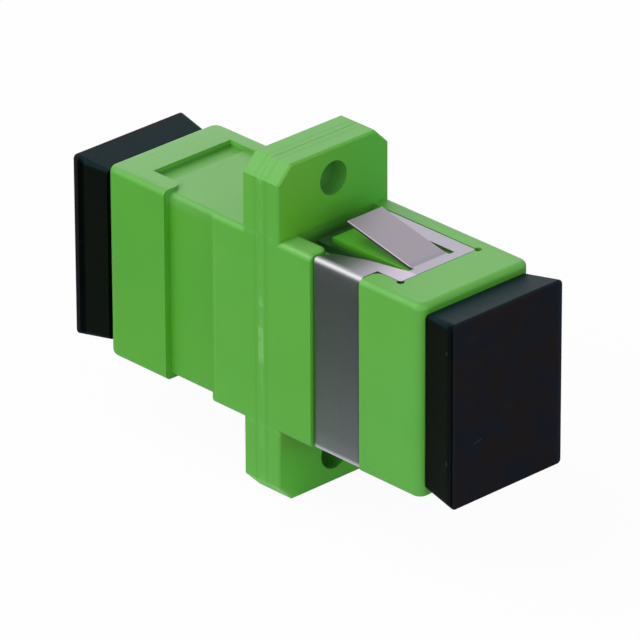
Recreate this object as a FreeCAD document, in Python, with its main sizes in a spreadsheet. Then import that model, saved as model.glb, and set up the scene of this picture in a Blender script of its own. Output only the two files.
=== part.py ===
"""SC/APC fibre adapter: flanged two-half housing, inner latches, split sleeve, panel clip, dust caps.

Frame, in millimetres: X is the optical axis, +X towards the end with the panel clip. Z is the long
way of the flange and +Z is up. -Y is the wide side that the clip's strip crosses, and +Y is the side
with the keyways. The origin is on the optical axis at the joint between the two halves.
Each half is drawn once, facing +X. The rear one is the same drawing turned half a turn about Y.
"""
import FreeCAD, Part
import os
import Sketcher

SIZES = {
    # housing
    "body_width": 9.2,
    "body_height": 12.8,
    "half_length": 13.7,
    "edge_round": 0.4,
    "end_side_round": 0.7,
    "socket_width": 7.45,
    "socket_height": 9.05,
    "mouth_bevel": 0.15,
    "keyway_width": 3.2,
    "keyway_length": 5.8,
    "seam_bevel": 0.05,
    # flange
    "flange_height": 22.4,
    "flange_layer": 1.55,
    "flange_corner": 1.1,
    "flange_edge_round": 0.18,
    "hole_to_end": 2.0,
    "screw_hole": 2.2,
    # recess for the clip on both narrow faces, and the groove across the -Y side
    "recess_depth": 0.25,
    "near_rim": 1.55,
    "far_rim": 1.25,
    "recess_end_front": 10.45,
    "recess_end_rear": 11.1,
    "pit_depth": 0.9,
    "pit_length": 1.3,
    "slot_depth": 1.3,
    "slot_length": 7.6,
    "slot_width": 1.7,
    "corner_relief": 0.5,
    "foot_relief": 0.12,
    "bar_groove_width": 0.7,
    "bar_groove_depth": 0.45,
    "groove_start": 4.3,
    "groove_end": 8.5,
    "groove_depth": 0.45,
    "groove_corner": 0.6,
    "groove_edge_round": 0.35,
    # inner holder: seat plate, sleeve tube and two latch arms
    "plate_lap_side": 0.225,
    "plate_lap_end": 0.625,
    "plate_thickness": 1.15,
    "plate_play": 0.05,
    "tube_wall": 0.625,
    "tube_lip": 0.75,
    "lip_play": 0.2,
    "lip_bevel": 0.35,
    "sleeve_play": 0.075,
    "sleeve_end_play": 0.15,
    "arm_room": 0.475,
    "arm_thickness": 0.7,
    "arm_width": 2.8,
    "arm_length": 8.6,
    "hook_length": 1.5,
    "hook_depth": 0.6,
    # split sleeve
    "sleeve_outer": 3.2,
    "sleeve_bore": 2.5,
    "sleeve_length": 11.4,
    "sleeve_slit": 0.5,
    "sleeve_bevel": 0.12,
    # panel clip
    "sheet": 0.2,
    "sheet_gap": 0.03,
    "sheet_edge_round": 0.06,
    "strip_start_play": 0.12,
    "strip_end_play": 0.1,
    "wing_end_play": 0.07,
    "bend_inner": 0.12,
    "wing_corner": 0.2,
    "arm_tip_start": 3.0,
    "clip_bar": 0.68,
    "tongue_width": 2.9,
    "tongue_shift": 0.25,
    "tongue_slot": 0.45,
    "tongue_tip_start": 4.0,
    "tongue_rise": 1.2,
    # dust caps
    "plug_play": 0.05,
    "plug_to_arms": 0.4,
    "plug_wall": 0.8,
    "plug_bevel": 0.3,
    "head_lap_side": 0.475,
    "head_lap_end": 1.225,
    "head_length": 2.72,
    "head_flare": 8.0,
    "head_wall": 1.0,
    "head_side_round": 0.3,
    "head_face_round": 0.18,
    "head_gap_front": 0.03,
    "head_gap_rear": 0.35,
}

# Sizes that follow from others: what fits into, seats on or lines up with another piece.
FOLLOWING = {
    "screw_spacing": "flange_height - 2 * hole_to_end",
    "bar_groove_start": "recess_end_front - bar_groove_width",
    "plate_width": "socket_width + 2 * plate_lap_side",
    "plate_height": "socket_height + 2 * plate_lap_end",
    "tube_outer": "sleeve_outer + 2 * sleeve_play + 2 * tube_wall",
    "tube_length": "sleeve_length / 2 + sleeve_end_play + tube_lip",
    "lip_bore": "sleeve_bore + 2 * lip_play",
    "arm_inner": "socket_height / 2 - arm_room - arm_thickness",
    "strip_start": "groove_start + strip_start_play",
    "strip_end": "groove_end - strip_end_play",
    "tongue_root": "recess_end_front - wing_end_play - clip_bar",
    "plug_length": "half_length - arm_length - plug_to_arms",
    "head_base_width": "socket_width + 2 * head_lap_side",
    "head_base_height": "socket_height + 2 * head_lap_end",
}

doc = FreeCAD.newDocument("sc_fibre_adapter")
sheet = doc.addObject("Spreadsheet::Sheet", "sizes")
for row, (alias, value) in enumerate([*SIZES.items(), *FOLLOWING.items()], 1):
    sheet.set("A%d" % row, alias)
    sheet.set("B%d" % row, "=" + value if alias in FOLLOWING else str(value))
    sheet.setAlias("B%d" % row, alias)
doc.recompute()
ALIASES = {*SIZES, *FOLLOWING}


def size(alias):
    """The sheet's present value of one size."""
    return float(getattr(sheet, alias))


def bound(expression):
    """The expression with each size's alias pointed at the sheet."""
    words = expression.replace("(", "( ").replace(")", " )").split()
    return " ".join("sizes." + word if word in ALIASES else word for word in words)


# ---------------------------------------------------------------- sketch and feature helpers

def origin_of(body, role):
    """One of the body's own origin planes or axes."""
    return next(part for part in body.Origin.OriginFeatures if part.Role == role)


def new_body(name):
    body = doc.addObject("PartDesign::Body", name)
    body.Label = name
    return body


def new_sketch(body, name, plane, height=None):
    """A sketch on one of the body's origin planes, moved along its normal by an expression."""
    sketch = body.newObject("Sketcher::SketchObject", name)
    sketch.AttachmentSupport = [(origin_of(body, plane), "")]
    sketch.MapMode = "FlatFace"
    if height:
        sketch.setExpression("AttachmentOffset.Base.z", bound(height))
    return sketch


def tie(sketch, kind, where, value, *expression):
    """Adds one driving dimension and binds it to the sheet."""
    number = sketch.addConstraint(Sketcher.Constraint(kind, *where, value))
    sketch.setExpression("Constraints[%d]" % number, bound(*expression))


def add_outline(sketch, corners):
    """A closed outline of straight edges through corners, each a pair of expressions."""
    count = len(corners)
    first = sketch.GeometryCount
    rough = [FreeCAD.Vector(*point, 0) for point in rough_places(count)]
    for n in range(count):
        sketch.addGeometry(Part.LineSegment(rough[n], rough[(n + 1) % count]))
    for n in range(count):
        after = (n + 1) % count
        sketch.addConstraint(Sketcher.Constraint("Coincident", first + n, 2, first + after, 1))
    for n, (across, up) in enumerate(corners):
        point = (-1, 1, first + n, 1)
        tie(sketch, "DistanceX", point, rough[n].x, across)
        tie(sketch, "DistanceY", point, rough[n].y, up)


def rough_places(count):
    """Starting places for an outline's corners, before its dimensions pull them into place."""
    turn = FreeCAD.Rotation(FreeCAD.Vector(0, 0, 1), 360.0 / count)
    place, places = FreeCAD.Vector(10, 0, 0), []
    for _ in range(count):
        places.append((place.x, place.y))
        place = turn.multVec(place)
    return places


def add_circle(sketch, across, up, diameter):
    """A circle whose centre and diameter are expressions."""
    number = sketch.addGeometry(Part.Circle(FreeCAD.Vector(0.1, 0.1, 0), FreeCAD.Vector(0, 0, 1), 1))
    tie(sketch, "DistanceX", (-1, 1, number, 3), 0.1, across)
    tie(sketch, "DistanceY", (-1, 1, number, 3), 0.1, up)
    tie(sketch, "Diameter", (number,), 2, diameter)


def box_corners(across, up):
    """Corners of a rectangle centred on the sketch's origin, from its two full sizes."""
    return [("%s %s / 2" % (a, across), "%s %s / 2" % (b, up))
            for a, b in (("-1 *", "-1 *"), ("1 *", "-1 *"), ("1 *", "1 *"), ("-1 *", "1 *"))]


def span_corners(low_across, high_across, low_up, high_up):
    """Corners of a rectangle from the expressions of its four sides."""
    return [(low_across, low_up), (high_across, low_up), (high_across, high_up), (low_across, high_up)]


def extrude(body, kind, sketch, length=None, reverse=False, middle=False):
    """A pad or pocket of the sketch; without a length it goes through everything."""
    before = body.Tip.Shape.Volume if kind == "Pocket" else 0
    feature = body.newObject("PartDesign::" + kind, sketch.Name + "_" + kind.lower())
    feature.Profile = sketch
    feature.Reversed = reverse
    if middle:
        feature.SideType = "Symmetric"
    if length is None:
        feature.Type = "ThroughAll"
    else:
        feature.Type = "Length"
        feature.setExpression("Length", bound(length))
    sketch.Visibility = False
    body.Tip = feature
    doc.recompute()
    if kind == "Pocket" and feature.Shape.Volume > before - 1e-4:
        raise RuntimeError("%s cuts nothing" % feature.Name)
    return feature


def edges_at(feature, **where):
    """Names of the edges that lie wholly at the given coordinates; each may have several values."""
    names = []
    for number, edge in enumerate(feature.Shape.Edges, 1):
        points = [vertex.Point for vertex in edge.Vertexes] + [edge.CenterOfMass]
        if all(all(min(abs(getattr(point, axis) - value) for value in values) < 1e-4
                   for point in points) for axis, values in where.items()):
            names.append("Edge%d" % number)
    return names


def soften(body, kind, name, edges, radius):
    """A fillet or chamfer on named edges of the body's present tip."""
    if not edges:
        raise RuntimeError("%s finds no edges" % name)
    base = body.Tip
    feature = body.newObject("PartDesign::" + kind, name)
    feature.Base = (base, edges)
    feature.setExpression("Radius" if kind == "Fillet" else "Size", bound(radius))
    body.Tip = feature
    doc.recompute()
    return feature


def mirror_up(body, name, features):
    """Repeats features on the other side of the XY plane."""
    feature = body.newObject("PartDesign::Mirrored", name)
    feature.Originals = features
    feature.MirrorPlane = (origin_of(body, "XY_Plane"), [""])
    body.Tip = feature
    doc.recompute()
    return feature


def face_rear(body):
    """Turns a +X piece to the rear end, half a turn about Y."""
    body.Placement = FreeCAD.Placement(FreeCAD.Vector(0, 0, 0),
                                       FreeCAD.Rotation(FreeCAD.Vector(0, 1, 0), 180))


# ---------------------------------------------------------------- housing halves

def flange_blank(name):
    """One half's layer of the flange, rounded before it joins the body."""
    body = new_body(name)
    sketch = new_sketch(body, name + "_outline", "YZ_Plane")
    add_outline(sketch, box_corners("body_width", "flange_height"))
    layer = extrude(body, "Pad", sketch, "flange_layer")
    half_width, half_height = size("body_width") / 2, size("flange_height") / 2
    rounded = soften(body, "Chamfer", name + "_corners",
                     edges_at(layer, y=(-half_width, half_width), z=(-half_height, half_height)),
                     "flange_corner")
    rounded = soften(body, "Fillet", name + "_front_edge",
                     edges_at(rounded, x=(size("flange_layer"),)), "flange_edge_round")
    soften(body, "Chamfer", name + "_seam", edges_at(rounded, x=(0,)), "seam_bevel")
    return body


def housing(name, recess_end, holds_clip):
    """One moulded half: body with socket, keyway and clip recesses, and its flange layer.

    Only the half that holds the clip has the deep slot beside the tongue and the corner reliefs.
    """
    body = new_body(name)
    half_width, half_height = size("body_width") / 2, size("body_height") / 2
    sketch = new_sketch(body, name + "_block", "YZ_Plane")
    add_outline(sketch, box_corners("body_width", "body_height"))
    block = extrude(body, "Pad", sketch, "half_length")
    block = soften(body, "Fillet", name + "_end_sides",
                   edges_at(block, x=(size("half_length"),), y=(-half_width, half_width)),
                   "end_side_round")
    rims = [edge for edge in edges_at(block, z=(-half_height, half_height))
            if block.Shape.getElement(edge).CenterOfMass.x > 1e-4]
    block = soften(body, "Fillet", name + "_long_edges", rims, "edge_round")
    soften(body, "Chamfer", name + "_block_seam", edges_at(block, x=(0,)), "seam_bevel")
    joined = body.newObject("PartDesign::Boolean", name + "_with_flange")
    joined.Type = "Fuse"
    joined.setObjects([flange_blank(name + "_flange")])
    body.Tip = joined
    doc.recompute()

    socket = new_sketch(body, name + "_socket", "YZ_Plane")
    add_outline(socket, box_corners("socket_width", "socket_height"))
    opened = extrude(body, "Pocket", socket, reverse=True)
    mouth = [edge for edge in edges_at(opened, x=(size("half_length"),))
             if abs(opened.Shape.getElement(edge).CenterOfMass.y) <= size("socket_width") / 2 + 1e-4
             and abs(opened.Shape.getElement(edge).CenterOfMass.z) <= size("socket_height") / 2 + 1e-4]
    soften(body, "Chamfer", name + "_mouth", mouth, "mouth_bevel")

    seat = new_sketch(body, name + "_seat", "YZ_Plane")
    add_outline(seat, box_corners("( plate_width + 2 * plate_play )",
                                  "( plate_height + 2 * plate_play )"))
    extrude(body, "Pocket", seat, "plate_thickness + plate_play", reverse=True)

    holes = new_sketch(body, name + "_screw_holes", "YZ_Plane")
    for side in ("1", "-1"):
        add_circle(holes, "0", side + " * screw_spacing / 2", "screw_hole")
    extrude(body, "Pocket", holes, reverse=True)

    keyway = new_sketch(body, name + "_keyway", "XY_Plane")
    add_outline(keyway, span_corners("half_length - keyway_length", "half_length + 1",
                                     "socket_width / 2 - 0.5", "body_width / 2 + 1"))
    extrude(body, "Pocket", keyway, "keyway_width", middle=True)

    groove = new_sketch(body, name + "_strip_groove", "XY_Plane")
    add_outline(groove, span_corners("groove_start", "groove_end",
                                     "-1 * body_width / 2 - 1", "groove_depth - body_width / 2"))
    extrude(body, "Pocket", groove, middle=True)

    near, far = "near_rim - body_width / 2", "body_width / 2 - far_rim"
    recess = new_sketch(body, name + "_recess", "XY_Plane", "body_height / 2 - recess_depth")
    outside = "-1 * body_width / 2 - 1"
    add_outline(recess, [
        ("flange_layer", near), ("groove_start", near), ("groove_start", outside),
        ("groove_end", outside), ("groove_end", near), (recess_end, near),
        (recess_end, far), ("flange_layer", far)])
    cuts = [extrude(body, "Pocket", recess, "recess_depth + 1", reverse=True)]
    bar = new_sketch(body, name + "_bar_groove", "XY_Plane", "body_height / 2 - bar_groove_depth")
    add_outline(bar, span_corners("bar_groove_start", recess_end, near, far))
    cuts.append(extrude(body, "Pocket", bar, "bar_groove_depth + 1", reverse=True))
    pit = new_sketch(body, name + "_pit", "XY_Plane", "body_height / 2 - pit_depth")
    add_outline(pit, span_corners("flange_layer", "flange_layer + pit_length", near, far))
    cuts.append(extrude(body, "Pocket", pit, "pit_depth + 1", reverse=True))
    if holds_clip:
        slot = new_sketch(body, name + "_slot", "XY_Plane", "body_height / 2 - slot_depth")
        add_outline(slot, span_corners("flange_layer", "flange_layer + slot_length",
                                       near, near + " + slot_width"))
        cuts.append(extrude(body, "Pocket", slot, "slot_depth + 1", reverse=True))
        reliefs = new_sketch(body, name + "_reliefs", "XY_Plane", "body_height / 2 - pit_depth")
        for side in (near, far):
            add_circle(reliefs, recess_end, side, "corner_relief")
        cuts.append(extrude(body, "Pocket", reliefs, "pit_depth + 1", reverse=True))
    foot = new_sketch(body, name + "_foot", "XY_Plane", "body_height / 2 - pit_depth")
    add_outline(foot, span_corners("flange_layer - foot_relief", "flange_layer + 0.1", near, far))
    cuts.append(extrude(body, "Pocket", foot, "pit_depth", reverse=True))
    both = mirror_up(body, name + "_recesses", cuts)

    floor = half_height - size("recess_depth")
    groove_wall = size("groove_depth") - half_width
    lip = edges_at(both, y=(groove_wall,), z=(-floor, floor))
    both = soften(body, "Fillet", name + "_groove_lip", lip, "groove_edge_round")
    rim_wall = size("near_rim") - half_width
    corners = [edge for x in (size("groove_start"), size("groove_end"))
               for edge in edges_at(both, x=(x,), y=(rim_wall,))]
    soften(body, "Fillet", name + "_rim_corners", corners, "groove_corner")
    return body


# ---------------------------------------------------------------- inner holders and sleeve

def holder(name):
    """Seat plate with half of the sleeve tube and the two latch arms for the plug."""
    body = new_body(name)
    sketch = new_sketch(body, name + "_plate", "YZ_Plane")
    add_outline(sketch, box_corners("plate_width", "plate_height"))
    extrude(body, "Pad", sketch, "plate_thickness")
    tube = new_sketch(body, name + "_tube", "YZ_Plane")
    add_circle(tube, "0", "0", "tube_outer")
    extrude(body, "Pad", tube, "tube_length")

    arm = new_sketch(body, name + "_arm", "XZ_Plane")
    back, catch = "arm_inner + arm_thickness", "arm_inner - hook_depth"
    add_outline(arm, [
        ("plate_thickness / 2", "arm_inner - 0.3"), ("plate_thickness", "arm_inner - 0.3"),
        ("plate_thickness + 0.3", "arm_inner"),
        ("arm_length - hook_length", "arm_inner"), ("arm_length - hook_length", catch),
        ("arm_length - hook_length + 0.35", catch), ("arm_length", "arm_inner + 0.1"),
        ("arm_length", "arm_inner + arm_thickness - 0.2"), ("arm_length - 0.2", back),
        ("plate_thickness / 2", back)])
    arm_pad = extrude(body, "Pad", arm, "arm_width", middle=True)
    mirror_up(body, name + "_arms", [arm_pad])

    bore = new_sketch(body, name + "_bore", "XY_Plane")
    wall = "sleeve_outer / 2 + sleeve_play"
    add_outline(bore, [
        ("-1", "0"), ("-1", wall), ("tube_length - tube_lip", wall),
        ("tube_length - tube_lip", "lip_bore / 2"), ("tube_length - lip_bevel", "lip_bore / 2"),
        ("tube_length", "lip_bore / 2 + lip_bevel"), ("tube_length + 1", "lip_bore / 2 + lip_bevel"),
        ("tube_length + 1", "0")])
    cut = body.newObject("PartDesign::Groove", name + "_bore_cut")
    cut.Profile = bore
    cut.ReferenceAxis = (origin_of(body, "X_Axis"), [""])
    cut.Angle = 360
    body.Tip = cut
    doc.recompute()
    return body


def sleeve(name):
    """Split zirconia sleeve that lines up the two ferrules."""
    body = new_body(name)
    wall = new_sketch(body, name + "_wall", "XY_Plane")
    inside, outside = "sleeve_bore / 2", "sleeve_outer / 2"
    add_outline(wall, [
        ("-1 * sleeve_length / 2", inside + " + sleeve_bevel"),
        ("sleeve_bevel - sleeve_length / 2", inside), ("sleeve_length / 2 - sleeve_bevel", inside),
        ("sleeve_length / 2", inside + " + sleeve_bevel"), ("sleeve_length / 2", outside),
        ("-1 * sleeve_length / 2", outside)])
    turned = body.newObject("PartDesign::Revolution", name + "_turned")
    turned.Profile = wall
    turned.ReferenceAxis = (origin_of(body, "X_Axis"), [""])
    turned.Angle = 360
    body.Tip = turned
    doc.recompute()
    slit = new_sketch(body, name + "_slit", "XY_Plane")
    add_outline(slit, box_corners("( sleeve_length + 2 )", "sleeve_slit"))
    extrude(body, "Pocket", slit, "sleeve_outer", reverse=True)
    return body


# ---------------------------------------------------------------- panel clip

def clip(name):
    """Stainless spring clip: strip across the side, and on each narrow face a wing with a tongue."""
    body = new_body(name)
    floor = "( body_height / 2 - recess_depth + sheet_gap )"
    top = "( body_height / 2 - recess_depth + sheet_gap + sheet )"
    inner = "( groove_depth - sheet_gap - body_width / 2 )"
    outer = "( groove_depth - sheet_gap - sheet - body_width / 2 )"
    root = "( groove_depth - sheet_gap - body_width / 2 + 2 * bend_inner )"
    strip = new_sketch(body, name + "_strip", "YZ_Plane", "strip_start")
    add_outline(strip, [
        (root, top), (outer, top), (outer, "-1 * " + top), (root, "-1 * " + top),
        (root, "-1 * " + floor), (inner, "-1 * " + floor), (inner, floor), (root, floor)])
    bent = extrude(body, "Pad", strip, "strip_end - strip_start")
    floor_z = size("body_height") / 2 - size("recess_depth") + size("sheet_gap")
    inner_y = size("groove_depth") - size("sheet_gap") - size("body_width") / 2
    top_z, outer_y = floor_z + size("sheet"), inner_y - size("sheet")
    bent = soften(body, "Fillet", name + "_inner_bends",
                  edges_at(bent, y=(inner_y,), z=(-floor_z, floor_z)), "bend_inner")
    soften(body, "Fillet", name + "_outer_bends",
           edges_at(bent, y=(outer_y,), z=(-top_z, top_z)), "bend_inner + sheet")

    near = "( near_rim + wing_end_play - body_width / 2 )"
    far = "( body_width / 2 - far_rim - wing_end_play )"
    slot_near = "( tongue_shift - tongue_width / 2 - tongue_slot )"
    slot_far = "( tongue_shift + tongue_width / 2 + tongue_slot )"
    front = "recess_end_front - wing_end_play"
    start = "( groove_depth - body_width / 2 + 1.2 * bend_inner )"
    wing = new_sketch(body, name + "_wing", "XY_Plane", floor)
    add_outline(wing, [
        ("strip_start", start), ("strip_end", start), ("strip_end", near), (front, near),
        (front, far), ("arm_tip_start", far), ("arm_tip_start", slot_far),
        ("tongue_root", slot_far), ("tongue_root", slot_near),
        ("tongue_root * 0.8 + strip_start * 0.2", slot_near + " * 0.79 + " + near + " * 0.21"),
        ("tongue_root * 0.5 + strip_start * 0.5", slot_near + " * 0.52 + " + near + " * 0.48"),
        ("tongue_root * 0.1 + strip_start * 0.9", near + " * 0.84 + " + start + " * 0.16")])
    flat = extrude(body, "Pad", wing, "sheet")
    front_x = size("recess_end_front") - size("wing_end_play")
    tongue = new_sketch(body, name + "_tongue", "XZ_Plane", "-1 * tongue_shift")
    add_outline(tongue, [
        ("tongue_root + sheet", floor), ("tongue_root + sheet", top),
        ("tongue_root - sheet", top), ("tongue_tip_start", top + " + tongue_rise"),
        ("tongue_tip_start - 0.04", floor + " + tongue_rise + 0.004"),
        ("tongue_root - sheet - 0.04", floor)])
    sprung = extrude(body, "Pad", tongue, "tongue_width", middle=True)
    both = mirror_up(body, name + "_wings", [flat, sprung])
    near_y = size("near_rim") + size("wing_end_play") - size("body_width") / 2
    far_y = size("body_width") / 2 - size("far_rim") - size("wing_end_play")
    both = soften(body, "Fillet", name + "_wing_corners",
                  edges_at(both, x=(front_x,), y=(near_y, far_y)), "wing_corner")
    sides = [size("tongue_shift") + side * size("tongue_width") / 2 for side in (-1, 1)]
    sheared = [edge for edge in edges_at(both, y=sides)
               if both.Shape.getElement(edge).Length > size("tongue_root") / 2
               - size("tongue_tip_start") / 2]
    soften(body, "Fillet", name + "_sheared_edges", sheared, "sheet_edge_round")
    return body


# ---------------------------------------------------------------- dust caps

def dust_cap(name, gap):
    """Push-in cap: hollow plug for the socket and a head that widens to its closed face."""
    body = new_body(name)
    base = new_sketch(body, name + "_base", "YZ_Plane", "half_length + " + gap)
    add_outline(base, box_corners("head_base_width", "head_base_height"))
    head = extrude(body, "Pad", base, "head_length")
    head.setExpression("TaperAngle", bound("head_flare"))
    doc.recompute()
    face_x = size("half_length") + size(gap) + size("head_length")
    slanted = ["Edge%d" % n for n, edge in enumerate(head.Shape.Edges, 1)
               if abs(edge.Vertexes[0].X - edge.Vertexes[1].X) > size("head_length") / 2]
    rounded = soften(body, "Fillet", name + "_head_sides", slanted, "head_side_round")
    soften(body, "Fillet", name + "_head_face", edges_at(rounded, x=(face_x,)), "head_face_round")

    inner_end = "half_length - plug_length + " + gap
    plug = new_sketch(body, name + "_plug", "YZ_Plane", inner_end)
    add_outline(plug, box_corners("( socket_width - 2 * plug_play )",
                                  "( socket_height - 2 * plug_play )"))
    stem = extrude(body, "Pad", plug, "plug_length + 0.2")
    start_x = size("half_length") - size("plug_length") + size(gap)
    soften(body, "Chamfer", name + "_lead_in", edges_at(stem, x=(start_x,)), "plug_bevel")
    hollow = new_sketch(body, name + "_hollow", "YZ_Plane", inner_end)
    add_outline(hollow, box_corners("( socket_width - 2 * plug_play - 2 * plug_wall )",
                                    "( socket_height - 2 * plug_play - 2 * plug_wall )"))
    extrude(body, "Pocket", hollow, "plug_length + head_length - head_wall", reverse=True)
    return body


# ---------------------------------------------------------------- the adapter

pieces = [
    housing("front_housing", "recess_end_front", True),
    housing("rear_housing", "recess_end_rear", False),
    holder("front_inner_holder"),
    holder("rear_inner_holder"),
    sleeve("alignment_sleeve"),
    clip("panel_clip"),
    dust_cap("front_dust_cap", "head_gap_front"),
    dust_cap("rear_dust_cap", "head_gap_rear"),
]
for piece in pieces:
    if piece.Label.startswith("rear_"):
        face_rear(piece)
doc.recompute()

for item in doc.Objects:
    if "Invalid" in item.State or "Error" in item.State:
        raise RuntimeError("%s did not build: %s" % (item.Label, item.State))
os.makedirs("parts", exist_ok=True)
for piece in pieces:
    if piece.Shape.isNull() or not piece.Shape.isValid() or len(piece.Shape.Solids) != 1:
        raise RuntimeError("%s is not one valid solid" % piece.Label)
    piece.Shape.exportStep("parts/%s.step" % piece.Label)
    print("%-20s %8.2f mm3" % (piece.Label, piece.Shape.Volume))
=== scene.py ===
"""Looks of a flanged fibre adapter: green moulded housing, stainless panel clip, black dust caps.

Everything is in the frame of the CAD model: X is the optical axis and points to the end with the
clip, -Y is the wide side that the clip's strip crosses, and Z runs up the flange. Meshes are in
metres, and the sizes written here and in the materials are in millimetres.
"""
import math

import bpy
import numpy as np
from mathutils import Matrix, Vector


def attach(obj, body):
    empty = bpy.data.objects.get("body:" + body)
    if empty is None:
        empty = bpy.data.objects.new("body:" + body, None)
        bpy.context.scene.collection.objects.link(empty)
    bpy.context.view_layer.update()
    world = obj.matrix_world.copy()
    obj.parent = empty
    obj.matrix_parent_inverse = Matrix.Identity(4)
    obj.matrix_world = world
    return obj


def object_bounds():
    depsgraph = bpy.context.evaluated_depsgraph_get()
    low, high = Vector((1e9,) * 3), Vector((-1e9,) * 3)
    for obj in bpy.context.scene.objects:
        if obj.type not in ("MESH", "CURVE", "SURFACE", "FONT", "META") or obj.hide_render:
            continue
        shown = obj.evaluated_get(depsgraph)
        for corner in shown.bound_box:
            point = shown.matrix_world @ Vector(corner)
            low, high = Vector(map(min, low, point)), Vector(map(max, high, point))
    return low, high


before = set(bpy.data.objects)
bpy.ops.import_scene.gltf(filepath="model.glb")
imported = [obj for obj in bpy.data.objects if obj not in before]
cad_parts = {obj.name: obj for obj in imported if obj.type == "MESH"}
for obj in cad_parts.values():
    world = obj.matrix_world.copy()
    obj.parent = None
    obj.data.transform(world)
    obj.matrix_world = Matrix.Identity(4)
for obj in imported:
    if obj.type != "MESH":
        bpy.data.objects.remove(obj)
cad_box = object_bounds()

MM = 0.001
SEED = 7

# The moulding, measured from the middle of the flange.
BODY_SIDE = 4.6
BODY_TOP = 6.4
GROOVE_START = 4.3
FLANGE_WIDTH = 9.2
FLANGE_HEIGHT = 22.4
FLANGE_CORNER = 1.1
FLANGE_FACE = 1.55
SEAM_BEVEL = 0.05
SCREW_SPACING = 18.4
SCREW_HOLE = 2.2

# The bead in the seam: its height, how much that wanders, and its half width, as parts of the
# seam's bevel. Its back is sunk in. Steps are for each of the flange's eight edges, sides for the
# section, and waves for one round.
BEAD_HEIGHT = 0.84
BEAD_WANDER = 0.12
BEAD_WIDTH = 0.96
BEAD_SINK = 0.01
BEAD_STEPS = 90
BEAD_SIDES = 12
BEAD_WAVES = np.array([23, 61, 97, 151, 210])

# The ejector pins' prints: rings as parts of the radius, and how far each stands off the face.
# What stands off by more than the burr's least height wanders.
MARK_RADIUS = 0.55
MARK_RINGS = np.array([1.08, 1.05, 1.01, 0.98, 0.95, 0.90, 0.5, 0.02])
MARK_LIFT = np.array([-0.01, 0.008, 0.022, 0.022, 0.008, 0.002, 0.002, 0.002])
MARK_BURR = 0.005
MARK_WAVES = np.array([2, 3, 7])
MARK_UNEVEN = 0.4
MARK_SINK = 0.01
MARK_SIDES = 64
MARK_PLACES = ((3.1, 7.9), (-3.1, 7.9), (3.1, -7.9), (-3.1, -7.9))

# Stage: how white mirrors see the floor, the fill from all round, and the camera's lens.
FLOOR_SHARE = 0.95
WORLD_FILL = 0.42
FOCAL = 460.6
SENSOR = 36.0
AZIMUTH, ELEVATION, ROLL = (math.radians(a) for a in (46.42, 26.19, -0.238))
CAMERA_RIGHT, CAMERA_UP, CAMERA_BACK = 0.231, -0.743, 494.7


# ---------------------------------------------------------------- shader expressions

class Value:
    """A number that varies over a surface. Its operators add Math nodes to the material."""

    def __init__(self, nodes, socket):
        self.nodes = nodes
        self.socket = socket

    def math(self, operation, *others):
        return self.nodes.node("ShaderNodeMath", {"operation": operation}, [self, *others]).value(0)

    def __add__(self, other):
        return self.math("ADD", other)

    def __mul__(self, other):
        return self.math("MULTIPLY", other)

    def __sub__(self, other):
        return self.math("SUBTRACT", other)

    def __rsub__(self, other):
        return self.math("MULTIPLY", -1.0).math("ADD", other)

    def __truediv__(self, other):
        return self.math("DIVIDE", other)

    __radd__, __rmul__ = __add__, __mul__

    def size(self):
        return self.math("ABSOLUTE")

    def least(self, other):
        return self.math("MINIMUM", other)

    def most(self, other):
        return self.math("MAXIMUM", other)

    def rise(self, low, high):
        """0 below low, 1 above high and a smooth step between them."""
        settings = {"interpolation_type": "SMOOTHSTEP"}
        return self.nodes.node("ShaderNodeMapRange", settings,
                               {"Value": self, "From Min": low, "From Max": high}).value("Result")

    def fall(self, low, high):
        """1 below low, 0 above high and a smooth step between them."""
        return 1 - self.rise(low, high)


class Made:
    """A finished node, for reading its outputs."""

    def __init__(self, nodes, node):
        self.nodes = nodes
        self.node = node

    def value(self, name):
        return Value(self.nodes, self.node.outputs[name])

    def link(self, name):
        return self.node.outputs[name]


class Nodes:
    """The node tree of a material or of the surroundings."""

    def __init__(self, tree):
        self.tree = tree

    def node(self, kind, settings=None, inputs=None):
        """Adds a node: its settings first, then the values or links of its sockets."""
        node = self.tree.nodes.new(kind)
        for name, setting in (settings or {}).items():
            setattr(node, name, setting)
        pairs = inputs.items() if isinstance(inputs, dict) else enumerate(inputs or [])
        for name, given in pairs:
            socket = node.inputs[name]
            if isinstance(given, Value):
                given = given.socket
            if isinstance(given, bpy.types.NodeSocket):
                self.tree.links.new(given, socket)
            else:
                if socket.type == "RGBA" and len(given) == 3:
                    given = (*given, 1)
                socket.default_value = given
        return Made(self, node)

    def seen_rays(self):
        """1 for rays from the camera, off a mirror or through glass, and 0 for all other light."""
        rays = self.node("ShaderNodeLightPath")
        seen = rays.value("Is Camera Ray").most(rays.value("Is Glossy Ray"))
        return seen.most(rays.value("Is Transmission Ray"))


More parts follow.
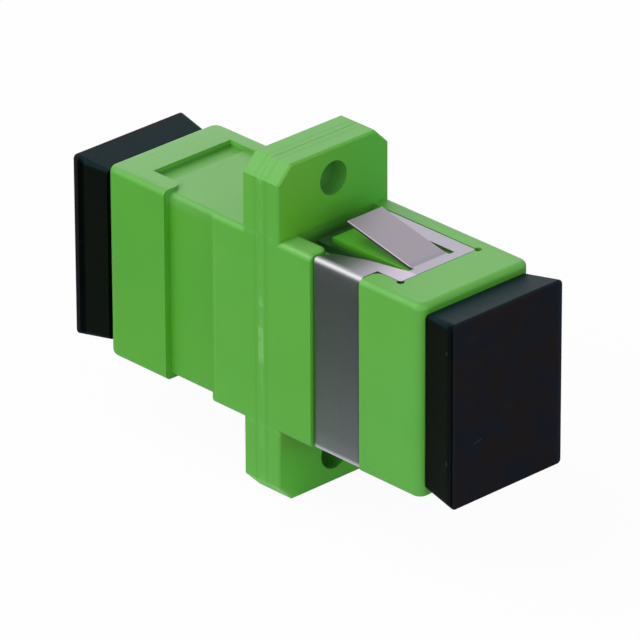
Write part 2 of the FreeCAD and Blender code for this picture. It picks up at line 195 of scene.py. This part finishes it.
class Paint(Nodes):
    """One material under construction. Its x, y and z are Object coordinates in millimetres."""

    def __init__(self, name):
        self.material = bpy.data.materials.new(name)
        self.material.use_nodes = True
        super().__init__(self.material.node_tree)
        self.tree.nodes.clear()
        self.place = self.vector("MULTIPLY", self.node("ShaderNodeTexCoord").link("Object"),
                                 (1 / MM,) * 3)
        parts = self.node("ShaderNodeSeparateXYZ", {}, [self.place])
        self.x, self.y, self.z = (parts.value(axis) for axis in "XYZ")

    def vector(self, operation, *inputs):
        return self.node("ShaderNodeVectorMath", {"operation": operation}, list(inputs)).link(0)

    def noise(self, per_mm, detail=2.0, roughness=0.5, stretch=(1, 1, 1), shift=(0, 0, 0)):
        """Cloudy pattern from 0 to 1 with the given number of features per millimetre."""
        where = self.vector("MULTIPLY_ADD", self.place, stretch, shift)
        inputs = {"Vector": where, "Scale": per_mm, "Detail": detail, "Roughness": roughness}
        return self.node("ShaderNodeTexNoise", {}, inputs).value(0)

    def mix(self, factor, first, second):
        """Colour between first and second by factor."""
        settings = {"data_type": "RGBA", "blend_type": "MIX"}
        return self.node("ShaderNodeMix", settings, {0: factor, 6: first, 7: second}).link(2)

    def bump(self, height, depth, strength=1.0):
        """Normal of a relief whose height of 0 to 1 stands for depth in millimetres."""
        inputs = {"Strength": strength, "Distance": depth * MM, "Height": height}
        return self.node("ShaderNodeBump", {}, inputs).link(0)

    def end(self, shader):
        """Ends the material with the given shader."""
        self.node("ShaderNodeOutputMaterial", {}, {"Surface": shader.link(0)})
        return self.material

    def finish(self, **inputs):
        """Ends the material with a Principled shader and the given sockets."""
        named = {name.replace("_", " "): value for name, value in inputs.items()}
        return self.end(self.node("ShaderNodeBsdfPrincipled", {}, named))


# ---------------------------------------------------------------- green mouldings

def rub_and_sheen(paint, half_width, half_height, reach):
    """1 along the long outer edges of a block and 0 away from them, broken up as handling does; it
    carries wear and a painted edge highlight.
    """
    side = (half_width - paint.y.size()).size()
    top = (half_height - paint.z.size()).size()
    edge = side.most(top).fall(0.02, reach)
    return edge * paint.noise(1.3, 4.0, 0.65).rise(0.42, 0.66)


def pocket_shade(paint):
    """Painted shade down in the clip's pits and slots: 0 at the recess floor, 1 at 0.6 mm under it.

    It lies between the recess's two rims, in the half with the clip. A weaker round spot of the
    same painted shade fills the corner where the strip's groove meets the recess.
    """
    recess_floor, full_depth, spot_share = 6.1, 0.6, 0.55
    deep = (recess_floor - paint.z.size()) / full_depth
    inside = paint.y.rise(-3.12, -3.04) * paint.y.fall(3.34, 3.42)
    inside = inside * paint.z.size().rise(5.0, 5.06) * paint.x.size().fall(11.2, 11.3)
    deep = (deep * inside).most(0.0).least(1.0) * paint.x.rise(0.0, 1.0)
    along, across = paint.x - GROOVE_START, paint.y + 2.95
    corner = (along * along + across * across).fall(0.10, 0.45)
    return deep.most(corner * paint.z.size().rise(5.80, 5.95) * spot_share)


def hole_shade(paint):
    """1 on the walls of the two screw holes."""
    up = paint.z.size() - SCREW_SPACING / 2
    out = (paint.y * paint.y + up * up).math("SQRT")
    return out.fall(SCREW_HOLE / 2 + 0.01, SCREW_HOLE / 2 + 0.06)


def weld_smear(paint):
    """Pale dashes of plastic wiped along the seam on the flange's wide sides.

    They are strong beside the middle, half as strong at the two ends and a faint line between.
    """
    near = paint.x.size().fall(0.12, 0.30)
    middle = paint.z.size().fall(1.6, 2.6)
    dashes = paint.noise(0.75, 2.0, 0.5, stretch=(0.3, 0.3, 1), shift=(2, 6, 3)).rise(0.44, 0.54)
    ends = paint.z.size().rise(9.4, 10.4) * 0.5
    return near * paint.y.size().rise(4.52, 4.58) * (dashes * middle + ends * dashes).most(0.10)


def side_tones_and_sheen(paint, colour, side):
    """The wide sides: deeper behind a line across them, a pale painted sheen along that line, a
    paler collar.

    x times y, in square millimetres, runs towards the rear on one wide side and towards the front
    on the other, because the two halves are one moulding turned round.
    """
    deep_green, sheen_green = (0.062, 0.340, 0.013), (0.20, 0.50, 0.12)
    collar_green = (0.20, 0.50, 0.20)
    behind = paint.x * paint.y
    deeper = paint.y.size().rise(3.90, 4.05) * behind.rise(18.0, 18.6)
    colour = paint.mix(deeper * 0.9, colour, deep_green)
    # Painted sheen: a pale line across the side.
    sheen_line = side * behind.rise(18.0, 18.6) * behind.fall(18.8, 19.3)
    colour = paint.mix(sheen_line * 0.22, colour, sheen_green)
    return paint.mix(side * paint.x.rise(8.4, 8.6) * 0.05, colour, collar_green)


def dusty_sheen_tops(paint, colour, side):
    """The upper faces: paler, part dust that lies in brushed lines and part painted sheen, both
    thinning out to the front.
    """
    # One pale colour for the dust and the painted sheen.
    dust = (0.45, 0.62, 0.42)
    dust_and_sheen = (paint.z - paint.x.rise(0.0, 1.0) * 0.65).rise(5.15, 5.65) * (1 - side)
    brushed = paint.noise(3.2, 3.0, 0.6, stretch=(1, 0.05, 1), shift=(6, 0, 2)).rise(0.3, 0.7)
    dust_and_sheen = dust_and_sheen * (1 - paint.x.rise(-14.0, -2.0) * 0.8) * (0.8 + brushed * 0.4)
    return paint.mix(dust_and_sheen * 0.13, colour, dust)


def edge_sheen_tones(paint, colour):
    """Painted sheen: paler green on the narrow shelf beside the flange and on the flange's lower
    facets.
    """
    shelf = paint.z.rise(6.20, 6.34) * paint.z.fall(6.42, 6.50)
    shelf = shelf * paint.x.rise(1.60, 1.90) * paint.x.fall(3.8, 4.4) * paint.y.fall(-3.3, -3.0)
    colour = paint.mix(shelf * 0.5, colour, (0.24, 0.56, 0.15))
    facets = (paint.y.size() + paint.z.size()).rise(14.62, 14.68) * paint.z.fall(-1.0, 1.0)
    return paint.mix(facets * 0.6, colour, (0.13, 0.56, 0.05))


def recess_painted_light(paint, colour):
    """Painted light: a brighter green on the bed under each tongue and on the end step of the rear
    recess.
    """
    bed = paint.x.rise(2.4, 3.2) * paint.x.fall(10.0, 10.4) * paint.z.size().rise(5.80, 5.95)
    bed = bed * paint.z.size().fall(6.22, 6.30) * paint.y.size().fall(2.9, 3.2)
    colour = paint.mix(bed * 0.7, colour, (0.105, 0.500, 0.013))
    step = paint.z.size().rise(6.14, 6.18) * paint.z.size().fall(6.32, 6.37)
    step = step * paint.x.fall(-10.2, -9.8) * paint.y.size().fall(4.1, 4.2)
    return paint.mix(step * 0.7, colour, (0.15, 0.60, 0.04))


def flange_tones_and_light(paint, colour, side):
    """A dark line on each side of the seam, and a front face that turns from a yellow green on one
    side to a blue green on the other, and to a pale green of painted bounce light at its lower end."""
    line_middle = 0.46
    shoulders = (paint.x.size() - line_middle).size().fall(0.04, 0.20)
    colour = paint.mix(shoulders * 0.45, colour, (0.048, 0.300, 0.012))
    front = paint.x.rise(1.40, 1.50) * paint.x.fall(1.60, 1.70) * (1 - side)
    across = paint.y.rise(-4.5, 4.5)
    # The pale green at the lower end is painted bounce light.
    yellow, blue, pale = (0.095, 0.360, 0.008), (0.058, 0.400, 0.020), (0.070, 0.455, 0.014)
    tone = paint.mix(paint.z.fall(-9.0, -7.0), paint.mix(across, yellow, blue), pale)
    return paint.mix(front * 0.8, colour, tone)


def mould_tones_and_light(paint, colour):
    """Slow differences of tone over one moulding, from its sides to the flange, with painted sheen
    and painted light on some faces.
    """
    side = paint.y.size().rise(4.30, 4.42)
    colour = side_tones_and_sheen(paint, colour, side)
    colour = dusty_sheen_tops(paint, colour, side)
    colour = edge_sheen_tones(paint, colour)
    colour = recess_painted_light(paint, colour)
    return flange_tones_and_light(paint, colour, side)


def green_plastic(name, base, shade):
    """Satin moulded plastic: spark-eroded grain, faint flow clouds, paler edges that are part wear
    and part painted highlight, painted shade in the pits and screw holes.
    """
    rubbed_sheen, speck, smear = (0.23, 0.52, 0.20), (0.16, 0.47, 0.09), (0.185, 0.485, 0.135)
    yellowed, pit_shade_green, shadow = (0.125, 0.380, 0.010), (0.010, 0.065, 0.012), (0.028, 0.240, 0.020)
    paint = Paint(name)
    clouds = paint.noise(0.22, 3.0, 0.55)
    streaks = paint.noise(0.9, 2.0, 0.5, stretch=(0.25, 1, 1), shift=(3, 1, 7))
    grain = paint.noise(7.0, 3.0, 0.6)
    fine = paint.noise(22.0, 2.0, 0.5)
    worn_and_sheen = rub_and_sheen(paint, BODY_SIDE, BODY_TOP, 0.35)
    colour = paint.mix(clouds.rise(0.3, 0.7) * 0.6 + streaks * 0.4, base, shade)
    # Paler edges: part wear, part painted highlight.
    colour = paint.mix(worn_and_sheen * 0.22, colour, rubbed_sheen)
    colour = paint.mix(grain.rise(0.70, 0.78) * 0.2, colour, speck)
    colour = mould_tones_and_light(paint, colour)
    colour = paint.mix(weld_smear(paint) * 0.75, colour, smear)
    warm = paint.noise(0.11, 2.0, 0.5, shift=(9, 4, 1)).rise(0.40, 0.62)
    colour = paint.mix(warm * 0.12, colour, yellowed)
    deep = pocket_shade(paint)
    # Painted shade in the pits, slots and the groove's corner.
    colour = paint.mix(deep * 0.88, colour, pit_shade_green)
    hole = hole_shade(paint)
    colour = paint.mix(hole * 0.35, colour, shadow)
    rough = 0.40 + clouds * 0.06 + grain * 0.10 + worn_and_sheen * 0.06 + deep * 0.2 + hole * 0.4
    relief = paint.bump(grain * 0.7 + fine * 0.3, 0.012, 0.6)
    return paint.finish(Base_Color=colour, Roughness=rough, Normal=relief, IOR=1.58)


def weld_plastic(name):
    """Plastic squeezed out of the welded seam: paler in patches and where it was stretched."""
    paint = Paint(name)
    patches = paint.noise(0.8, 3.0, 0.6, shift=(0, 2, 5)).rise(0.45, 0.62)
    grain = paint.noise(12.0, 2.0, 0.5)
    stretched = (paint.z.size() - 0.4).fall(1.5, 2.4)
    pale = (patches * 0.35 + grain.rise(0.45, 0.6) * stretched * 0.9).least(1.0)
    colour = paint.mix(pale, (0.104, 0.405, 0.046), (0.32, 0.60, 0.24))
    relief = paint.bump(grain, 0.008, 0.5)
    return paint.finish(Base_Color=colour, Roughness=0.30 + grain * 0.15, Normal=relief, IOR=1.58)


# ---------------------------------------------------------------- other materials

def nick(paint, middle, slope, reach, half_width):
    """1 on a straight scratch seen along X: its middle in Y and Z, its rise in Z for each
    millimetre of Y, half its length and half its width."""
    along = paint.y - middle[0]
    off = (paint.z - middle[1] - along * slope).size()
    return off.fall(half_width * 0.4, half_width) * along.size().fall(reach * 0.6, reach)


def cap_damage(paint, face):
    """A knock on the end faces, and two weaker pecks on the near side of the front cap's head."""
    pecks = (nick(paint, (-BODY_SIDE, 4.07), 0.0, 0.6, 0.14)
             + nick(paint, (-BODY_SIDE, -3.17), 0.0, 0.6, 0.18))
    pecks = pecks * (paint.x - 15.80).size().fall(0.04, 0.12)
    return nick(paint, (-2.55, -2.15), 0.24, 0.42, 0.05) * face + pecks * 0.7


def black_plastic(name):
    """Matt black polyethylene: soft orange-peel, scuffs, dust in the grain.

    The upper faces are painted a paler blue-green sheen, the end faces have a violet and blue
    bloom, and a dark line of painted shade without any shine runs down the sides of the head, just
    behind its end face.
    """
    mould_black, mould_grey = (0.0026, 0.0040, 0.0022), (0.0038, 0.0056, 0.0034)
    top_sheen_blue, shade_line_black = (0.0034, 0.0140, 0.0185), (0.0006, 0.0007, 0.0010)
    violet, night_blue = (0.0112, 0.0090, 0.0100), (0.0080, 0.0092, 0.0155)
    glint_blue, scuff_grey = (0.010, 0.017, 0.027), (0.022, 0.024, 0.028)
    scar_grey, dust_grey = (0.055, 0.055, 0.065), (0.06, 0.06, 0.065)
    paint = Paint(name)
    clouds = paint.noise(0.3, 3.0, 0.6)
    grain = paint.noise(8.0, 3.0, 0.6)
    scratches = paint.noise(2.2, 3.0, 0.6, stretch=(1, 0.35, 2.6), shift=(1, 8, 2))
    scuffs = scratches.rise(0.60, 0.72) * clouds.rise(0.45, 0.65)
    out = paint.x.size()
    face = out.rise(16.32, 16.40)
    # Painted highlight along the far edge of the end faces.
    far_edge_glint = face * paint.y.rise(4.05, 4.30) * paint.y.fall(4.42, 4.56)
    line = out.rise(15.78, 15.98) * (1 - face) * paint.y.size().rise(4.30, 4.50)
    bloom = paint.noise(0.55, 2.0, 0.5, shift=(5, 2, 8)).rise(0.35, 0.65)
    colour = paint.mix(clouds, mould_black, mould_grey)
    # Painted sheen on the upper faces.
    colour = paint.mix(paint.z.size().rise(5.62, 5.74), colour, top_sheen_blue)
    # Painted shade down the sides of the head.
    colour = paint.mix(line * 0.75, colour, shade_line_black)
    colour = paint.mix(face, colour, paint.mix(bloom, violet, night_blue))
    colour = paint.mix(far_edge_glint * 0.7, colour, glint_blue)
    colour = paint.mix(scuffs * 0.25, colour, scuff_grey)
    colour = paint.mix(cap_damage(paint, face) * 0.5, colour, scar_grey)
    dust = grain.rise(0.74, 0.82) * clouds.rise(0.4, 0.6)
    colour = paint.mix(dust * 0.35, colour, dust_grey)
    rough = 0.42 + grain * 0.12 + scuffs * 0.15 + line * 0.1
    relief = paint.bump(grain * 0.6 + scratches * 0.4, 0.014, 0.6)
    return paint.finish(Base_Color=colour, Roughness=rough, Normal=relief, Metallic=line * 0.95,
                        Specular_IOR_Level=0.045, Specular_Tint=(0.85, 0.95, 1.0))


def strip_tones_and_light(paint):
    """The clip's strip: uneven along its length, paler towards its bends in a painted highlight,
    dark at one edge in a painted shadow.
    """
    tint = paint.noise(0.9, 2.0, 0.5, stretch=(1, 1, 0.12), shift=(3, 3, 3)).rise(0.35, 0.65)
    colour = paint.mix(tint, (0.300, 0.370, 0.315), (0.318, 0.352, 0.360))
    # Painted highlight fading down from the bends.
    colour = paint.mix(paint.z.size().rise(4.6, 5.9) * 0.25, colour, (0.60, 0.58, 0.64))
    # Painted shadow at the strip's front edge.
    return paint.mix(paint.x.rise(8.06, 8.28) * 0.6, colour, (0.14, 0.17, 0.15))


def wing_tones_and_light(paint):
    """The clip's wings: rosy, with painted light: a tone of its own on the tilted tongue, paler on
    the arm next to the bend, painted shade at that arm's root, and a painted highlight on the crest
    of the bend."""
    arm = paint.y.fall(-1.75, -1.55)
    tongue = paint.z.size().rise(6.42, 6.50)
    # Painted light: the tilted tongue gets a tone of its own.
    colour = paint.mix(tongue, (0.258, 0.240, 0.292), (0.295, 0.264, 0.308))
    # Painted highlight: the arm next to the bend is paler.
    colour = paint.mix(arm * (1 - tongue), colour, (0.415, 0.350, 0.455))
    # Painted shade at that arm's root.
    root_shade = paint.x.fall(5.0, 8.0) * arm * (1 - tongue)
    colour = paint.mix(root_shade * 0.72, colour, (0.035, 0.075, 0.045))
    # Painted highlight on the crest of the bend.
    return paint.mix(paint.y.fall(-4.10, -3.90), colour, (0.42, 0.42, 0.44))


def spring_steel(name):
    """Rolled stainless sheet: rolling lines along the strip, fine scratches, tinted wings, and
    painted highlights and shade on strip and wings.
    """
    paint = Paint(name)
    rolled = paint.noise(14.0, 3.0, 0.6, stretch=(1, 1, 0.03))
    lines = paint.noise(16.0, 3.0, 0.6, stretch=(0.05, 1, 1), shift=(4, 4, 0))
    clouds = paint.noise(0.5, 3.0, 0.6)
    wing = paint.z.size().rise(5.95, 6.1)
    colour = paint.mix(wing, strip_tones_and_light(paint), wing_tones_and_light(paint))
    # Painted highlight along the lower bend.
    lower_bend_highlight = paint.z.fall(-6.12, -5.92) * paint.y.fall(-4.1, -3.9)
    colour = paint.mix(lower_bend_highlight, colour, (0.80, 0.76, 0.84))
    colour = paint.mix(clouds * 0.25, colour, (0.27, 0.26, 0.27))
    bend = paint.z.size().rise(5.75, 6.15) * paint.y.fall(-4.0, -3.8)
    rough = 0.22 + rolled * 0.08 + lines * 0.06 + wing * 0.06 + bend * 0.12
    relief = paint.bump(rolled * (1 - wing) * 0.35 + lines * wing, 0.003, 0.5)
    return paint.finish(Base_Color=colour, Roughness=rough, Normal=relief, Metallic=1.0)


def zirconia(name):
    """Ground white ceramic with fine rings from grinding."""
    paint = Paint(name)
    rings = paint.noise(18.0, 2.0, 0.5, stretch=(1, 0.04, 0.04))
    clouds = paint.noise(0.7, 2.0)
    colour = paint.mix(clouds, (0.82, 0.81, 0.76), (0.87, 0.86, 0.82))
    relief = paint.bump(rings, 0.003, 0.5)
    return paint.finish(Base_Color=colour, Roughness=0.16 + rings * 0.1, Normal=relief, IOR=2.1)


green = green_plastic("green_moulding", (0.069, 0.354, 0.022), (0.080, 0.374, 0.028))
latch_green = green_plastic("latch_moulding", (0.080, 0.340, 0.026), (0.094, 0.370, 0.033))
weld_green = weld_plastic("weld_bead")
black = black_plastic("black_cap_plastic")
steel = spring_steel("stainless_sheet")
ceramic = zirconia("zirconia_white")

FINISHES = {
    "front_housing": green, "rear_housing": green,
    "front_inner_holder": latch_green, "rear_inner_holder": latch_green,
    "alignment_sleeve": ceramic, "panel_clip": steel,
    "front_dust_cap": black, "rear_dust_cap": black,
}
for node, finish in FINISHES.items():
    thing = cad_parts[node]
    thing.data.materials.clear()
    thing.data.materials.append(finish)


# ---------------------------------------------------------------- surfaces

def surface(name, points, finish, around=False, along=False):
    """A mesh from a grid of points of shape (rows, columns, 3) in millimetres.

    Each cell of the grid becomes one face. around joins the last column to the first, and along
    joins the last row to the first.
    """
    rows, columns = points.shape[:2]
    number = np.arange(rows * columns).reshape(rows, columns)
    if around:
        number = np.concatenate([number, number[:, :1]], axis=1)
    if along:
        number = np.concatenate([number, number[:1]], axis=0)
    faces = np.stack([number[:-1, :-1], number[1:, :-1], number[1:, 1:], number[:-1, 1:]], axis=-1)
    mesh = bpy.data.meshes.new(name)
    mesh.from_pydata((points.reshape(-1, 3) * MM).tolist(), [], faces.reshape(-1, 4).tolist())
    mesh.polygons.foreach_set("use_smooth", np.ones(len(mesh.polygons), bool))
    mesh.materials.append(finish)
    mesh.update()
    piece = bpy.data.objects.new(name, mesh)
    bpy.context.collection.objects.link(piece)
    return piece


def fixed_to_body(piece):
    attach(piece, "adapter")


def wander(where, seed, waves):
    """A smooth uneven line from -1 to 1: sines of the given numbers of waves, with set phases."""
    phase = np.random.default_rng(seed).uniform(0, 2 * math.pi, len(waves))
    total = np.sin(2 * math.pi * np.outer(where, waves) + phase).sum(axis=1)
    return total / len(waves)


def flange_edge(steps):
    """The chamfered outline of the flange and how its points move for each millimetre inwards.

    Eight corners are joined by straight lines, each cut into equal steps. A corner on a long side
    moves straight in from that side and slides along it by tan(22.5 degrees) of that.
    """
    wide, tall = FLANGE_WIDTH / 2, FLANGE_HEIGHT / 2
    slide = math.tan(math.radians(22.5))
    quarter = np.array([[wide, tall - FLANGE_CORNER], [wide - FLANGE_CORNER, tall]])
    inwards = -np.array([[1, slide], [slide, 1]])
    flips = np.array([[1, 1], [-1, 1], [-1, -1], [1, -1]])
    corners, moves = [], []
    for turn, flip in enumerate(flips):
        order = slice(None) if turn % 2 == 0 else slice(None, None, -1)
        corners.append(quarter[order] * flip)
        moves.append(inwards[order] * flip)
    corners, moves = np.concatenate(corners), np.concatenate(moves)
    part = np.linspace(0, 1, steps, endpoint=False)[None, :, None]
    places = corners[:, None] * (1 - part) + np.roll(corners, -1, axis=0)[:, None] * part
    shifts = moves[:, None] * (1 - part) + np.roll(moves, -1, axis=0)[:, None] * part
    return places.reshape(-1, 2), shifts.reshape(-1, 2)


def weld_flash(finish):
    """Bead of plastic in the seam round the flange's edge.

    The section is half an ellipse that stands on the bottom of the seam, with a shallow back sunk
    into it. Its width is just under the seam's, and its height wanders along the edge but never
    reaches the flange's outside.
    """
    places, shifts = flange_edge(BEAD_STEPS)
    where = np.arange(len(places)) / len(places)
    height = SEAM_BEVEL * (BEAD_HEIGHT + BEAD_WANDER * wander(where, SEED, BEAD_WAVES))
    turn = np.linspace(0, 2 * math.pi, BEAD_SIDES, endpoint=False)
    above, below = np.maximum(np.sin(turn), 0), np.minimum(np.sin(turn), 0)
    inset = SEAM_BEVEL - (above * height[:, None] + below * BEAD_SINK)
    across = np.broadcast_to(np.cos(turn) * SEAM_BEVEL * BEAD_WIDTH, inset.shape)
    edge = places[:, None] + shifts[:, None] * inset[..., None]
    points = np.concatenate([across[..., None], edge], axis=-1)
    piece = surface("weld_flash", points, finish, around=True, along=True)
    fixed_to_body(piece)


def ejector_mark(name, face, centre, radius, finish):
    """Shallow round print of an ejector pin on one face of the flange.

    Turned about the pin's axis: a low burr at the rim, a step down inside it and a flat middle
    that is level with the face. The burr's height wanders round the rim.
    """
    turn = np.linspace(0, 2 * math.pi, MARK_SIDES, endpoint=False)
    uneven = 1 + MARK_UNEVEN * wander(turn / (2 * math.pi), SEED + 1, MARK_WAVES)
    out = radius * MARK_RINGS[:, None] * np.ones_like(turn)
    burr = MARK_LIFT > MARK_BURR
    height = (np.where(burr, MARK_LIFT, 0)[:, None] * uneven
              + np.where(burr, 0, MARK_LIFT)[:, None])
    side = math.copysign(1, face)
    points = np.stack([face + side * height, centre[0] + out * np.cos(turn),
                       centre[1] - side * out * np.sin(turn)], axis=-1)
    cap = np.broadcast_to(points[-1].mean(axis=0), points[-1].shape)
    back = np.broadcast_to(points[0].mean(axis=0) - [side * MARK_SINK, 0, 0], points[-1].shape)
    points = np.concatenate([back[None], points, cap[None]])
    piece = surface(name, points, finish, around=True)
    fixed_to_body(piece)


weld_flash(weld_green)
for number, centre in enumerate(MARK_PLACES, 1):
    ejector_mark("ejector_mark_%d" % number, -FLANGE_FACE, centre, MARK_RADIUS, green)


# ---------------------------------------------------------------- stage, light and camera

def stage_white(name, colour, share):
    """Pale backdrop that cameras and mirrors see as white, and that still takes shadows."""
    paint = Paint(name)
    matt = paint.node("ShaderNodeBsdfDiffuse", {}, {"Color": colour})
    white = paint.node("ShaderNodeEmission", {}, {"Color": (1, 1, 1), "Strength": 1.0})
    parts = [paint.seen_rays() * share, matt.link(0), white.link(0)]
    return paint.end(paint.node("ShaderNodeMixShader", {}, parts))


def reflection_card_shine(name):
    """Painted reflection on a sheet that only shiny faces see: grey, paler in a band along the side
    with the strip, and slightly paler right under the object."""
    paint = Paint(name)
    front = paint.y.fall(-3.4, -2.6)
    band = paint.y.rise(-25.0, -11.0) * 0.22 + paint.y.rise(-11.0, -6.0) * 0.40
    under = paint.x.size().fall(12.0, 15.0) * (1 - front) * paint.y.fall(3.5, 5.5)
    level = 0.13 + band * front + under * 0.15
    tone = paint.mix(level, (0, 0, 0), (0.95, 1.0, 1.0))
    return paint.end(paint.node("ShaderNodeEmission", {}, {"Color": tone, "Strength": 1.0}))


def flat_sheet(name, half, height, finish):
    """A square sheet at one height, half its side from the middle to each edge."""
    along = np.linspace(-half, half, 2)
    x, y = np.meshgrid(along, along, indexing="ij")
    return surface(name, np.stack([x, y, np.full_like(x, height)], axis=-1), finish)


def seen_in_gloss_only(sheet):
    for rays in ("camera", "diffuse", "transmission", "shadow", "volume_scatter"):
        setattr(sheet, "visible_" + rays, False)


def studio_world():
    """Surroundings that cameras and mirrors see as white, and that light all else by the fill."""
    world = bpy.data.worlds.new("studio")
    bpy.context.scene.world = world
    world.use_nodes = True
    nodes = Nodes(world.node_tree)
    level = nodes.node("ShaderNodeMapRange", {},
                       {"Value": nodes.seen_rays(), "To Min": WORLD_FILL, "To Max": 1.0})
    backdrop = world.node_tree.nodes["Background"]
    backdrop.inputs["Color"].default_value = (1, 1, 1, 1)
    world.node_tree.links.new(level.link("Result"), backdrop.inputs["Strength"])


def softbox(name, towards, distance, side, share):
    """A square lamp; share is the part of full light that it gives a surface facing it."""
    lamp = bpy.data.lights.new(name, "AREA")
    lamp.shape = "SQUARE"
    lamp.size = side
    lamp.energy = math.pi ** 2 * distance ** 2 * share
    thing = bpy.data.objects.new(name, lamp)
    bpy.context.collection.objects.link(thing)
    way = Vector(towards).normalized()
    thing.location = way * distance
    thing.rotation_euler = way.to_track_quat("Z", "Y").to_euler()


def set_camera():
    """A long lens that looks from the azimuth and elevation at a point near the middle."""
    back = Vector((math.sin(AZIMUTH) * math.cos(ELEVATION),
                   -math.cos(AZIMUTH) * math.cos(ELEVATION), math.sin(ELEVATION)))
    right = Vector((math.cos(AZIMUTH), math.sin(AZIMUTH), 0))
    up = back.cross(right)
    right, up = (right * math.cos(ROLL) + up * math.sin(ROLL),
                 up * math.cos(ROLL) - right * math.sin(ROLL))
    camera = bpy.data.objects.new("camera", bpy.data.cameras.new("camera"))
    bpy.context.collection.objects.link(camera)
    camera.data.sensor_width = SENSOR
    camera.data.lens = FOCAL
    place = (right * CAMERA_RIGHT + up * CAMERA_UP + back * CAMERA_BACK) * MM
    turned = Matrix((right, up, back)).transposed().to_4x4()
    camera.matrix_world = Matrix.Translation(place) @ turned
    bpy.context.scene.camera = camera


foot = cad_box[0][2] / MM
floor = flat_sheet("floor", 3000, foot - 0.02,
                   stage_white("floor_white", (0.9, 0.9, 0.9), FLOOR_SHARE))
floor.data.flip_normals()
# A sheet just above the floor, seen only in reflections, that paints the dark and pale reflections
# on shiny faces.
seen_in_gloss_only(flat_sheet("reflection_card", 160, foot + 0.01, reflection_card_shine("reflection_grey")))

studio_world()
softbox("key_lamp", towards=(-0.40, -0.52, 0.75), distance=0.40, side=0.42, share=0.66)
softbox("front_lamp", towards=(0.20, -0.97, 0.12), distance=0.60, side=0.40, share=0.30)
softbox("end_lamp", towards=(0.95, -0.15, 0.24), distance=0.60, side=0.40, share=0.31)
softbox("back_lamp", towards=(-0.68, 0.65, 0.30), distance=0.60, side=0.42, share=0.14)
set_camera()
bpy.context.scene.view_settings.view_transform = "Standard"
